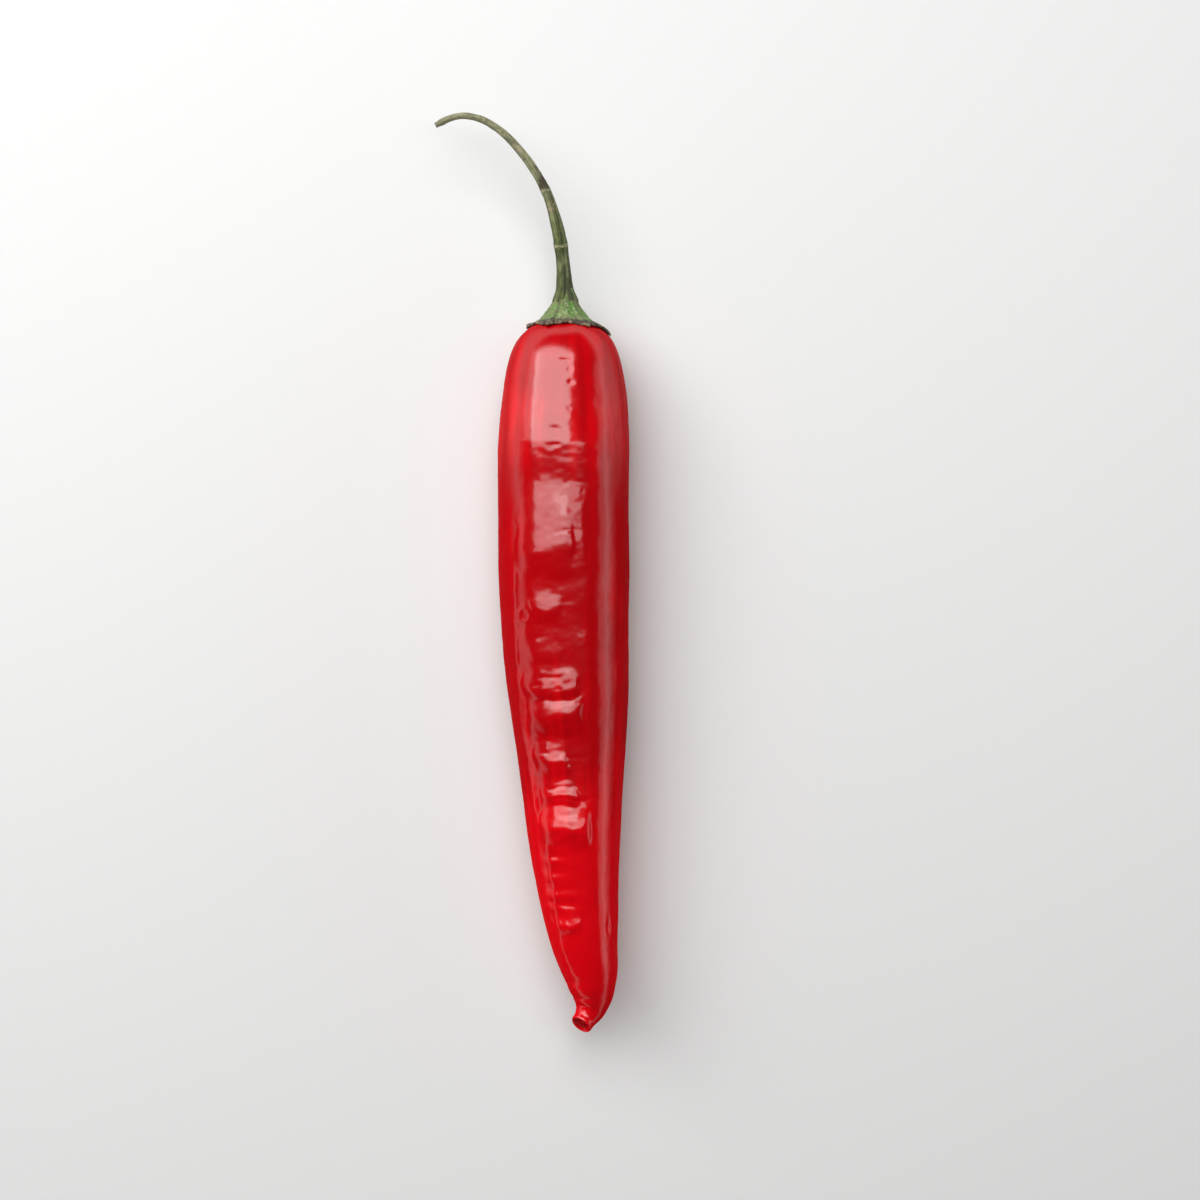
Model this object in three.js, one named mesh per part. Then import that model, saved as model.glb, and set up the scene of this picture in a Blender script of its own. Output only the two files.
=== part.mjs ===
// A fresh red chilli pepper, as picked, lying on its side: a long glossy fruit that tapers to a
// small blunt tip, the green calyx that caps its shoulder, and the curved stem.
// Millimetres, +Z up, the stem end towards +Y, and the origin on the resting surface, under the
// middle of the whole pepper.
import * as THREE from "three";

// Driving dimensions. "Along" is a distance from the shoulder's top towards the tip.
const FRUIT_LENGTH = 127.8;
const WIDEST = 11.95; // half-width of the fruit where it is thickest
const SHOULDER_LENGTH = 24.4; // the rounded stretch from the calyx to the thickest part
const SHOULDER_POWER = 0.4; // under 1 gives the square shoulder of a full, fleshy fruit
const HEIGHT_SHARE = 0.94; // a section's height over its width
const TIP_LENGTH = 1.6; // the rounded end
const TIP_RADIUS = 2.3;
const PRESSED_DEPTH = 0.5;
const PIECE_GAP = 0.3; // clearance between the pieces that grow against each other
const CALYX_HEIGHT = 5.3; // from the shoulder's top to the neck, where the stem begins
const NECK_RADIUS = 2.05;
const BRIM_TURN = 0.26; // how far over the shoulder's curve the calyx reaches, in radians
const BRIM_THICKNESS = 0.5;
const TOOTH_COUNT = 6;
const TOOTH_LENGTH = 1.2;

const SKIN = { color: 0xb8040e, roughness: 0.22, metalness: 0 };
const CALYX_GREEN = { color: 0x4d7a34, roughness: 0.7, metalness: 0 };
const STEM_GREEN = { color: 0x75794a, roughness: 0.75, metalness: 0 };

// The fruit between its shoulder and its rounded tip: [along, half-width].
const GIRTH = [
  [SHOULDER_LENGTH, WIDEST],
  [50, 11.75],
  [65, 11.1],
  [80, 9.5],
  [95, 8.1],
  [106, 6.85],
  [113, 5.75],
  [119, 4.1],
  [123, 3.0],
  [FRUIT_LENGTH - TIP_LENGTH, TIP_RADIUS],
];

// The line through the middle of the fruit: [along, sideways towards +X, height].
const MIDLINE = [
  [0, 0, 9.7],
  [10, -0.1, 10.6],
  [20, -0.3, 11.1],
  [40, -0.25, 11.2],
  [55, 0, 11.05],
  [70, 0.8, 11.15],
  [85, 1.4, 12.0],
  [100, 2.2, 12.75],
  [112, 3.6, 13.05],
  [120, 4.9, 12.75],
  [124, 4.6, 12.5],
  [FRUIT_LENGTH, 3.7, 12.7],
];

// The calyx from its brim up to the neck: [radius, height above the shoulder's top].
const CALYX_FLANK = [
  [5.7, 0.6],
  [4.65, 1.1],
  [3.75, 2.5],
  [2.85, 3.8],
  [2.25, 4.8],
  [NECK_RADIUS, CALYX_HEIGHT],
];

// The stem's route from the neck to its cut end: [sideways, beyond the shoulder's top, height].
const STEM_ROUTE = [
  [0, CALYX_HEIGHT + PIECE_GAP, 9.7],
  [-0.45, 12, 9.9],
  [-1.3, 17.5, 10.5],
  [-4.55, 26.6, 11.7],
  [-8.2, 31.75, 12.3],
  [-13.6, 36.55, 12.7],
  [-19.1, 37.95, 12.4],
  [-23.6, 36.3, 11.8],
];

// The stem flares at the calyx and has one faint joint swelling: [share of its length, radius].
const STEM_GIRTH = [
  [0, 2.0],
  [0.02, 1.6],
  [0.06, 1.32],
  [0.14, 1.13],
  [0.2, 1.18],
  [0.26, 1.12],
  [0.45, 0.86],
  [0.6, 0.73],
  [0.8, 0.6],
  [0.97, 0.52],
  [1, 0.58],
];

// How finely each piece is faceted.
const FRUIT_SIDES = 44;
const CALYX_SIDES = 48;
const STEM_SIDES = 12;
const STEM_RINGS = 46;

// A smooth function through [position, value] stations.
function through(stations) {
  const positions = stations.map(([at]) => at);
  const values = stations.map(([, value]) => value);
  const spline = new THREE.CubicInterpolant(positions, values, 1);
  return (at) => spline.evaluate(at)[0];
}

// Equal steps from 0 to 1.
const steps = (count) => Array.from({ length: count + 1 }, (_, i) => i / count);

const girth = through(GIRTH);
const sideways = through(MIDLINE);
const height = through(MIDLINE.map(([along, , z]) => [along, z]));
const shoulderHeight = height(0) - PRESSED_DEPTH;

// A point of the shoulder's profile as (radius, height), for a turn from 0 to a quarter circle.
function shoulderPoint(turn) {
  const radius = WIDEST * Math.sin(turn) ** SHOULDER_POWER;
  return new THREE.Vector2(radius, -SHOULDER_LENGTH * (1 - Math.cos(turn)));
}

// The fruit's profile from the middle of the shoulder to the middle of the tip.
function fruitProfile() {
  const shoulder = steps(14).map((t) => shoulderPoint((t * Math.PI) / 2));
  const flankEnd = FRUIT_LENGTH - TIP_LENGTH;
  const flank = steps(36).slice(1).map((t) => {
    const along = THREE.MathUtils.lerp(SHOULDER_LENGTH, flankEnd, t);
    return new THREE.Vector2(girth(along), -along);
  });
  const tip = steps(4).slice(1).map((t) => {
    const turn = (t * Math.PI) / 2;
    const radius = t < 1 ? TIP_RADIUS * Math.cos(turn) : 0;
    return new THREE.Vector2(radius, -flankEnd - TIP_LENGTH * Math.sin(turn));
  });
  return [...shoulder, ...flank, ...tip];
}

// A solid turned about +Y, whose points are then moved one by one.
function turnedSolid(profile, sides, move) {
  const geometry = new THREE.LatheGeometry(profile, sides);
  const position = geometry.getAttribute("position");
  const point = new THREE.Vector3();
  for (let i = 0; i < position.count; i++) {
    point.fromBufferAttribute(position, i);
    move(point);
    position.setXYZ(i, point.x, point.y, point.z);
  }
  geometry.computeVertexNormals();
  return geometry;
}

// Bends the straight fruit along its midline and presses it flat on the resting surface.
function layDown(point) {
  const along = -point.y;
  point.x += sideways(along);
  point.z = point.z * HEIGHT_SHARE + height(along) - PRESSED_DEPTH;
  point.z = Math.max(point.z, 0);
}

function makeFruit() {
  const profile = fruitProfile().reverse(); // upwards, so that the faces point out
  return turnedSolid(profile, FRUIT_SIDES, layDown);
}

// A point that stands clear of the shoulder by the given distance.
function offShoulder(turn, distance) {
  const here = shoulderPoint(turn);
  const run = shoulderPoint(turn + 0.01).sub(here).normalize();
  return here.add(new THREE.Vector2(-run.y, run.x).multiplyScalar(distance));
}

// The calyx's profile: its underside follows the shoulder, and a thin brim joins it to the flank.
function calyxProfile() {
  const under = steps(6).slice(1).map((t) => offShoulder(t * BRIM_TURN, PIECE_GAP));
  const edge = offShoulder(BRIM_TURN, PIECE_GAP + BRIM_THICKNESS);
  const flank = CALYX_FLANK.map(([radius, y]) => new THREE.Vector2(radius, y));
  return [
    new THREE.Vector2(0, PIECE_GAP),
    ...under,
    edge,
    ...flank,
    new THREE.Vector2(0, CALYX_HEIGHT),
  ];
}

// Draws the brim out into teeth that lie along the shoulder, then sets the cap on the fruit.
function growTeeth(point) {
  const radius = Math.hypot(point.x, point.z);
  const angle = Math.atan2(point.z, point.x);
  const nearBrim = THREE.MathUtils.smoothstep(radius, 5.2, 6.9);
  const tooth = (0.5 + 0.5 * Math.cos(TOOTH_COUNT * angle)) ** 1.5;
  const reach = TOOTH_LENGTH * tooth * nearBrim;
  const growth = radius > 0 ? (radius + 0.75 * reach) / radius : 1;
  point.x *= growth;
  point.y -= 0.6 * reach;
  point.z = point.z * growth * HEIGHT_SHARE + shoulderHeight;
}

function makeCalyx() {
  return turnedSolid(calyxProfile(), CALYX_SIDES, growTeeth);
}

// The stem is turned as a straight taper, and each of its rings is then set on the route.
function makeStem() {
  const route = new THREE.CatmullRomCurve3(
    STEM_ROUTE.map(([x, y, z]) => new THREE.Vector3(x, y, z - PRESSED_DEPTH)),
  );
  const radius = through(STEM_GIRTH);
  const { normals, binormals } = route.computeFrenetFrames(STEM_RINGS);
  const side = steps(STEM_RINGS).map((t, i) => new THREE.Vector2(radius(t), i));
  const profile = [new THREE.Vector2(0, 0), ...side, new THREE.Vector2(0, STEM_RINGS)];
  return turnedSolid(profile, STEM_SIDES, (point) => {
    const ring = Math.round(point.y);
    const across = binormals[ring].clone().multiplyScalar(point.x);
    const upward = normals[ring].clone().multiplyScalar(point.z);
    point.copy(route.getPointAt(ring / STEM_RINGS)).add(across).add(upward);
  });
}

function piece(name, geometry, finish) {
  const mesh = new THREE.Mesh(geometry, new THREE.MeshStandardMaterial(finish));
  mesh.name = name;
  return mesh;
}

const pepper = new THREE.Group();
pepper.add(piece("fruit", makeFruit(), SKIN));
pepper.add(piece("calyx", makeCalyx(), CALYX_GREEN));
pepper.add(piece("stem", makeStem(), STEM_GREEN));

// Puts the origin under the middle of the pepper's box, on the resting surface.
const middle = new THREE.Box3().setFromObject(pepper).getCenter(new THREE.Vector3());
pepper.children.forEach((mesh) => mesh.position.set(-middle.x, -middle.y, 0));

export default pepper;
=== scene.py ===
"""Builds a fresh red chilli pepper, as picked, lying on its side: the long glossy fruit with its
wrinkles and cupped tip, the ragged green calyx and the curved, ribbed stem."""

import math

import bpy
import numpy as np
from mathutils import Matrix, Vector, noise


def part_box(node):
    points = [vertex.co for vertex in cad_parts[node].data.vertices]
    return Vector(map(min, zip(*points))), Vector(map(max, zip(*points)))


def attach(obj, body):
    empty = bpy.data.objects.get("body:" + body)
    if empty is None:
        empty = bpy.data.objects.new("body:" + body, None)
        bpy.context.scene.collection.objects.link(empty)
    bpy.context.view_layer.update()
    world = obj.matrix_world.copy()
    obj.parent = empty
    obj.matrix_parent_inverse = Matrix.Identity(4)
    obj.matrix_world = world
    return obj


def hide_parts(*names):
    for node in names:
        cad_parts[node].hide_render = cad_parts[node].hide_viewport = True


bl_info = {
    "name": "Chilli Pepper",
    "version": (1, 0, 0),
    "blender": (4, 5, 0),
    "location": "View3D > Sidebar > Chilli",
    "description": "Grows a red chilli pepper with its calyx and stem on a pale studio floor",
    "category": "Add Mesh",
}

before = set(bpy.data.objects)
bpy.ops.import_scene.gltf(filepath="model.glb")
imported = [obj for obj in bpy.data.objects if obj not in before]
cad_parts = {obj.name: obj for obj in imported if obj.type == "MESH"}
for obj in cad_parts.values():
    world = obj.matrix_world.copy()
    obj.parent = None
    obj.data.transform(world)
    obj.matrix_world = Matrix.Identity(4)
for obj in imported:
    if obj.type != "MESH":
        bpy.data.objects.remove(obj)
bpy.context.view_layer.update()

MM = 0.001

# Places and sizes that the frame gives, in millimetres.
FRUIT_LOW, FRUIT_HIGH = (np.array(corner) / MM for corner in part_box("fruit"))
CALYX_LOW, CALYX_HIGH = (np.array(corner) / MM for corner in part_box("calyx"))
WIDEST = (FRUIT_HIGH[0] - FRUIT_LOW[0]) / 2
SHOULDER_X = (CALYX_LOW[0] + CALYX_HIGH[0]) / 2
SHOULDER_Y = FRUIT_HIGH[1]

# The fruit's build. "Along" is a distance in millimetres from the shoulder's top to the tip, and
# an angle runs round the fruit from +X over the top: 90 is the top, 180 the -X side.
SHOULDER_LENGTH = 24.4
SHOULDER_POWER = 0.4  # under 1 gives a square, fleshy shoulder
HEIGHT_SHARE = 0.94  # a section's height over its width
ROUNDING = (100, 124)  # the stretch along the fruit over which its sections turn round
PRESSED_DEPTH = 0.5  # how deep the resting patch is pressed flat
PRESSED_SOFTNESS = 0.10
FRUIT_SIDES = 196
FRUIT_RINGS = 500
TIP_RINGS = FRUIT_RINGS // 8
LIP_SHARE = 0.62  # the share of the tip's rings that lie inside its lip
OUTLINE_STEPS = 300  # points on each half of the outline, before its rings are shared out
FIRST_TURN = 0.03  # 0 would put the first ring on the shoulder's middle, 1 on its widest place

# The fruit's half-width from the shoulder to the neck of the tip: [along, half-width].
GIRTH = [
    [24.4, 11.95], [50, 11.75], [65, 11.1], [80, 9.55], [95, 8.15], [106, 6.9], [113, 5.85],
    [118, 4.85], [121, 4.0], [123, 3.25], [124.6, 2.65],
]
# The tip's profile: over the lip of the cupped scar and in to its middle, [along, radius].
TIP = [
    [124.6, 2.65], [125.4, 2.28], [126.1, 2.04], [126.6, 2.02], [126.95, 1.98], [127.12, 1.83],
    [127.08, 1.66], [126.92, 1.45], [126.78, 1.15], [126.72, 0.8], [126.76, 0.5], [126.82, 0.3],
    [126.83, 0.0],
]
# The line through the middle of the fruit: [along, sideways, beyond the shoulder's top, height].
MIDLINE = [
    [0, 0, 0, 9.7], [10, -0.1, -10, 10.6], [20, -0.3, -20, 11.1], [40, -0.25, -40, 11.2],
    [55, 0, -55, 11.05], [70, 0.8, -70, 11.15], [85, 1.4, -85, 12.0], [100, 2.2, -100, 12.75],
    [112, 3.6, -112, 13.05], [119, 4.85, -119, 12.8], [122, 5.0, -122, 12.65],
    [124.4, 4.5, -124.3, 12.9], [126.5, 3.3, -126.2, 13.9], [127.5, 2.65, -127.0, 14.6],
]


# ---------------------------------------------------------------- numbers

def through(stations, places):
    """Values at the places of a smooth curve through [place, value, ...] stations."""
    table = np.array(stations, float)
    x, y = table[:, 0], table[:, 1:]
    slope = np.gradient(y, x, axis=0)
    places = np.asarray(places, float)
    i = np.clip(np.searchsorted(x, places, side="right") - 1, 0, len(x) - 2)
    span = (x[i + 1] - x[i])[:, None]
    t = np.clip((places - x[i])[:, None] / span, 0, 1)
    return (
        (1 + 2 * t) * (1 - t) ** 2 * y[i]
        + t * t * (3 - 2 * t) * y[i + 1]
        + span * t * (1 - t) ** 2 * slope[i]
        - span * t * t * (1 - t) * slope[i + 1]
    )


def path_through(points, count):
    """Evenly shared points of a smooth open path through the given points."""
    points = np.array(points, float)
    reach = np.r_[0, np.cumsum(np.linalg.norm(np.diff(points, axis=0), axis=1))]
    return through(np.c_[reach, points], np.linspace(0, reach[-1], count))


def smoothstep(low, high, x):
    t = np.clip((x - low) / (high - low), 0, 1)
    return t * t * (3 - 2 * t)


def apart(angle, centre):
    """The signed difference of two angles in degrees, from -180 to 180."""
    return (angle - centre + 180) % 360 - 180


def unit(vectors):
    return vectors / np.maximum(np.linalg.norm(vectors, axis=-1, keepdims=True), 1e-12)


SEED_STEP = 17.3  # how far apart the noises of two neighbouring seeds are read


def grain(points, scale, seed):
    """Smooth noise from about -1 to 1 at the points, with features of roughly 1 / scale."""
    places = np.asarray(points).reshape(-1, 3) * scale + seed * SEED_STEP
    found = np.fromiter((noise.noise(p) for p in places), float, len(places))
    return found.reshape(np.shape(points)[:-1])


def facing(points):
    """Unit normals of a closed band of rings, given as [ring, side, xyz]."""
    along = np.gradient(points, axis=0)
    around = np.roll(points, -1, axis=1) - np.roll(points, 1, axis=1)
    return unit(np.cross(around, along))


def ring_faces(rings, sides):
    """Quads between neighbouring rings of vertices."""
    i, j = np.meshgrid(np.arange(rings - 1), np.arange(sides), indexing="ij")
    k = (j + 1) % sides
    corners = np.stack([i * sides + j, i * sides + k, (i + 1) * sides + k, (i + 1) * sides + j])
    return corners.reshape(4, -1).T.tolist()


def closed_body(name, points, facts):
    """A closed mesh object, in metres, from rings of points in millimetres: each end ring is
    drawn together into one pole. Facts are named numbers or vectors for each point."""
    rings, sides = points.shape[:2]
    first, last = rings * sides, rings * sides + 1
    poles = np.stack([points[0].mean(axis=0), points[-1].mean(axis=0)])
    vertices = np.concatenate([points.reshape(-1, 3), poles]) * MM
    faces = ring_faces(rings, sides)
    final = (rings - 1) * sides
    for j in range(sides):
        k = (j + 1) % sides
        faces.append([first, k, j])
        faces.append([last, final + j, final + k])
    mesh = bpy.data.meshes.new(name)
    mesh.from_pydata(vertices.tolist(), [], faces)
    mesh.validate()
    mesh.shade_smooth()
    for label, values in facts.items():
        store(mesh, label, values)
    body = bpy.data.objects.new(name, mesh)
    bpy.context.scene.collection.objects.link(body)
    return body


def store(mesh, label, values):
    """Keeps a number or a vector for each ring point on the mesh, with the ends' means."""
    values = np.asarray(values, float)
    width = values.shape[2] if values.ndim == 3 else 1
    flat = values.reshape(-1, width)
    sides = values.shape[1]
    ends = np.stack([flat[:sides].mean(axis=0), flat[-sides:].mean(axis=0)])
    kind, field = ("FLOAT_VECTOR", "vector") if width == 3 else ("FLOAT", "value")
    attribute = mesh.attributes.new(label, kind, "POINT")
    attribute.data.foreach_set(field, np.concatenate([flat, ends]).ravel())


# ---------------------------------------------------------------- node trees

class Socket:
    """The output of a node, with arithmetic that adds Math nodes."""

    def __init__(self, tree, output):
        self.tree = tree
        self.output = output

    def _math(self, operation, *terms):
        return self.tree.node("ShaderNodeMath", {"operation": operation}, dict(enumerate(terms)))

    def __add__(self, other):
        return self._math("ADD", self, other)

    def __sub__(self, other):
        return self._math("SUBTRACT", self, other)

    def __rsub__(self, other):
        return self._math("SUBTRACT", other, self)

    def __mul__(self, other):
        return self._math("MULTIPLY", self, other)

    def __truediv__(self, other):
        return self._math("DIVIDE", self, other)

    def cosine(self):
        return self._math("COSINE", self)

    def angle_from(self, other):
        return self._math("ARCTAN2", self, other)

    def sibling(self, output):
        """Another output of the same node."""
        return Socket(self.tree, self.output.node.outputs[output])

    def clamped(self, low, high):
        """0 at or under low, 1 at or over high, and smooth between."""
        settings = {"interpolation_type": "SMOOTHSTEP"}
        return self.tree.node("ShaderNodeMapRange", settings, {0: self, 1: low, 2: high})

    __radd__ = __add__
    __rmul__ = __mul__


class Tree:
    """Adds nodes to a node tree of any kind."""

    def __init__(self, tree):
        self.tree = tree

    def node(self, kind, settings=None, sockets=None, output=0):
        """Adds a node, sets it up, then gives its sockets their values or links. Returns the
        named or numbered output, if the node has any."""
        made = self.tree.nodes.new(kind)
        for name, value in (settings or {}).items():
            setattr(made, name, value)
        for key, value in (sockets or {}).items():
            self.join(made.inputs[key], value)
        return Socket(self, made.outputs[output]) if len(made.outputs) else None

    def join(self, target, value):
        if isinstance(value, Socket):
            self.tree.links.new(value.output, target)
        else:
            target.default_value = value


class Finish(Tree):
    """One material: a Principled surface and what varies over it."""

    def __init__(self, name, **uniform):
        self.material = bpy.data.materials.new(name)
        self.material.use_nodes = True
        super().__init__(self.material.node_tree)
        self.surface = self.tree.nodes["Principled BSDF"]
        for label, value in uniform.items():
            self.surface.inputs[label.replace("_", " ")].default_value = value

    def attribute(self, name, output="Fac"):
        return self.node("ShaderNodeAttribute", {"attribute_name": name}, output=output)

    def place(self):
        return self.node("ShaderNodeTexCoord", output="Object")

    def stretched(self, vector, scale):
        sockets = {"Vector": vector, "Scale": scale}
        return self.node("ShaderNodeMapping", {"vector_type": "POINT"}, sockets)

    def noise(self, vector, scale, detail=2.0, roughness=0.5):
        sockets = {"Vector": vector, "Scale": scale, "Detail": detail, "Roughness": roughness}
        return self.node("ShaderNodeTexNoise", None, sockets)

    def spots(self, vector, scale):
        """The distance to the nearest of many scattered points."""
        return self.node("ShaderNodeTexVoronoi", None, {"Vector": vector, "Scale": scale})

    def mixed(self, share, first, second):
        settings = {"data_type": "RGBA", "clamp_factor": True}
        return self.node("ShaderNodeMix", settings, {0: share, 6: first, 7: second}, output=2)

    def grazing(self):
        """0 where the surface faces the viewer, rising to 1 at its outline."""
        return self.node("ShaderNodeLayerWeight", None, {"Blend": 0.5}, output="Facing")

    def bump(self, height, distance, under=None):
        sockets = {"Height": height, "Distance": distance, "Strength": 1.0}
        if under:
            sockets["Normal"] = under
        return self.node("ShaderNodeBump", None, sockets)

    def apply(self, **varying):
        for label, value in varying.items():
            self.join(self.surface.inputs[label.replace("_", " ")], value)
        return self.material


def rgb(colour, share=1.0):
    """The colour, or a darker share of it, as a colour socket takes it."""
    return (*(share * part for part in colour), 1.0)


# ---------------------------------------------------------------- settings

def colour_property(name, description, default):
    return bpy.props.FloatVectorProperty(
        name=name, description=description, default=default, subtype="COLOR", size=3, min=0, max=1
    )


def length_property(name, description, default):
    return bpy.props.FloatProperty(
        name=name, description=description, default=default, unit="LENGTH", min=0, precision=5
    )


class FruitSettings(bpy.types.PropertyGroup):
    lump_height: length_property("Lumps", "Height of the broad, soft lumps", 0.16 * MM)
    wrinkle_height: length_property("Wrinkles", "Height of the fine cross wrinkles", 0.085 * MM)
    ridge_height: length_property("Ridge", "Height of the ridge that runs down one side", 0.17 * MM)
    skin_deep: colour_property("Deep Red", "The darker red of the skin", (0.41, 0.0005, 0.0030))
    skin_bright: colour_property("Bright Red", "The brighter red of the skin", (0.66, 0.0010, 0.0050))
    scar: colour_property("Scar", "Corky colour in the tip's scar", (0.40, 0.003, 0.006))
    gloss: bpy.props.FloatProperty(
        name="Roughness", description="Roughness of the skin under its coat", default=0.24, min=0, max=1
    )


class CalyxSettings(bpy.types.PropertyGroup):
    thickness: length_property("Thickness", "Thickness of the calyx at its brim", 0.62 * MM)
    vein_height: length_property("Veins", "Height of the veins", 0.20 * MM)
    curl: length_property("Curl", "How far the brim lifts from the fruit", 0.28 * MM)
    green: colour_property("Green", "Fresh green of the calyx", (0.095, 0.27, 0.026))
    grey_green: colour_property("Grey Green", "Dull green of the calyx", (0.200, 0.225, 0.095))
    brim: colour_property("Brim", "Dry brown of the brim", (0.048, 0.034, 0.024))


class StemSettings(bpy.types.PropertyGroup):
    rib_count: bpy.props.IntProperty(
        name="Ribs", description="Number of ribs round the stem", default=6, min=3
    )
    rib_height: bpy.props.FloatProperty(
        name="Rib Height", description="Rib height as a share of the stem's radius",
        default=0.085, min=0, max=0.5,
    )
    twist: bpy.props.FloatProperty(
        name="Twist", description="How far the ribs turn from end to end",
        default=math.radians(70), subtype="ANGLE",
    )
    fresh: colour_property("Fresh Green", "Green near the calyx", (0.105, 0.135, 0.036))
    olive: colour_property("Olive", "Olive grey of the outer half", (0.33, 0.32, 0.185))
    cut: colour_property("Cut End", "Dry colour of the cut end", (0.20, 0.19, 0.11))


class StageSettings(bpy.types.PropertyGroup):
    floor: colour_property("Floor", "Colour of the floor", (0.74, 0.74, 0.735))
    view_width: length_property(
        "View Width", "Width that the camera shows at the pepper's mid-height", 218.2 * MM
    )
    lens: bpy.props.FloatProperty(
        name="Lens", description="The camera's focal length in millimetres", default=76.4, min=10
    )


# ---------------------------------------------------------------- the fruit

# Folds across the fruit, each rising gently to a crest and falling behind it:
# [start, crest, foot, angle, half-width in degrees, rise].
FOLDS = [
    [14.0, 22.4, 28.8, 97, 62, 0.55],
    [29.2, 41.2, 46.5, 108, 27, 0.50],
    [28.8, 34.5, 46.0, 84, 18, 0.22],
    [48.0, 51.6, 53.8, 105, 15, 0.27],
    [56.6, 59.4, 61.3, 109, 14, 0.16],
    [61.0, 66.4, 67.6, 107, 27, 0.66],
    [66.2, 71.2, 74.8, 106, 32, 0.88],
    [74.6, 79.4, 81.9, 112, 21, 0.64],
    [81.6, 85.9, 86.8, 106, 23, 0.58],
    [85.6, 91.4, 95.0, 100, 31, 1.02],
    [105.2, 107.9, 109.4, 112, 20, 0.55],
]
FOLD_FULLNESS = 0.6  # under 1 keeps a fold full almost to its ends
FOLD_SOFTENING = (-0.5, -0.25, 0, 0.25, 0.5)  # steps over which a fold is averaged
# Creases across the folds: [along, angle, half-width in degrees, depth].
CREASES = [
    [66.4, 110, 24, 0.10], [64.3, 118, 7, 0.12], [63.1, 104, 9, 0.06], [83.6, 108, 20, 0.09],
    [85.9, 104, 26, 0.14], [77.6, 118, 9, 0.09], [37.6, 84, 14, 0.03],
]
CREASE_HALF_LENGTH = 0.32
# Small pits and pricks: [along, angle, half-length along, half-width across, depth].
PITS = [
    [7.4, 90, 0.35, 0.9, 0.10], [8.3, 86, 0.3, 0.4, 0.08], [9.6, 85, 0.5, 0.4, 0.11],
    [11.6, 83, 0.40, 0.6, 0.12], [20.0, 97, 0.6, 1.2, 0.20], [22.6, 97, 0.35, 1.1, 0.15],
    [21.2, 93, 0.3, 0.4, 0.08], [23.2, 100, 0.3, 0.5, 0.08],
    [8.0, 112, 0.5, 0.6, 0.05], [15.2, 104, 0.6, 0.8, 0.05], [16.4, 84, 0.5, 0.5, 0.06],
    [109.4, 41, 1.25, 0.5, 0.22], [66.1, 112, 0.35, 1.2, 0.08], [65.6, 98, 0.5, 0.6, 0.08],
    [31.0, 72, 0.8, 0.6, 0.07], [44.0, 60, 1.2, 0.8, 0.05], [97.0, 70, 1.0, 0.6, 0.05],
    [40.0, 200, 1.4, 1.0, 0.16], [72.0, 220, 1.0, 1.6, 0.14], [55.0, 330, 1.3, 0.9, 0.15],
    [86.0, 345, 0.8, 1.5, 0.12], [30.0, 12, 0.9, 1.1, 0.10], [100.0, 185, 0.8, 1.2, 0.10],
]
# The ridge's route down the fruit: [along, angle].
RIDGE = [
    [36, 134], [46, 138], [61, 142], [72, 148], [80, 142], [88, 139], [95, 127], [111, 129],
    [121, 124],
]
RIDGE_HALF_WIDTH = 0.75
LOW_RIDGE = (66, 0.72)  # where the ridge drops, and to what share of its height
RING_SCAR = {
    "along": 52.4, "angle": 127.5, "across": 1.15, "length": 1.25, "rim": 0.30,
    "rise": 0.10, "dip": 0.08, "cork": 0.5,
}
PLEATS = {"along": 1.2, "length": 2.2, "height": 0.10}
# How the red shifts along the fruit, toward the brighter red above 0: [along, shift].
TONE = np.array([[22, -0.5], [46, -1], [72, -1], [98, 0.9]])
WAX_ENDS = (16, 36)  # the stretch along the fruit over which the thick wax gives out
SKIN_RADIUS = 10  # the radius at which the skin's lengthways streaks are laid out
FLECK = (0.52, 0.03, 0.012, 1)


def shoulder_profile(turn):
    """(along, radius) of the rounded shoulder, for a turn from 0 to a quarter circle."""
    radius = WIDEST * np.sin(turn) ** SHOULDER_POWER
    return SHOULDER_LENGTH * (1 - np.cos(turn)), radius


def fruit_profile():
    """(along, radius) of every ring, from near the shoulder's top to near the scar's middle."""
    turn = np.linspace(FIRST_TURN, 1, OUTLINE_STEPS, endpoint=False) ** 2 * math.pi / 2
    shoulder = np.stack(shoulder_profile(turn), axis=1)
    places = np.linspace(SHOULDER_LENGTH, GIRTH[-1][0], OUTLINE_STEPS)
    flank = np.c_[places, through(GIRTH, places)]
    body_rings = FRUIT_RINGS - TIP_RINGS
    body = path_through(np.concatenate([shoulder, flank]), body_rings + 1)[:-1]
    tip = path_through(TIP, TIP_RINGS + 1)[:-1]
    profile = np.concatenate([body, tip])
    return profile[:, 0], profile[:, 1]


def midline(along):
    """Points on the fruit's midline, with the sideways and upward directions there."""
    offset = through(MIDLINE, along)
    points = offset + [SHOULDER_X, SHOULDER_Y, -PRESSED_DEPTH]
    step = 0.05
    ahead = through(MIDLINE, along + step) - through(MIDLINE, along - step)
    ahead[along < step] = through(MIDLINE, [2 * step]) - through(MIDLINE, [0])
    side = unit(np.cross([0, 0, 1], ahead))
    up = unit(np.cross(ahead, side))
    return points, side, up


def plain_fruit(along, radius, angle):
    """Points of the fruit's smooth shape at the given places, as [ring, side, xyz]."""
    points, side, up = midline(along)
    share = 1 - (1 - HEIGHT_SHARE) * (1 - smoothstep(*ROUNDING, along))
    turn = np.radians(angle)
    across = np.multiply.outer(radius, np.cos(turn))
    above = np.multiply.outer(radius * share, np.sin(turn))
    return points[:, None] + across[..., None] * side[:, None] + above[..., None] * up[:, None]


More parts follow.
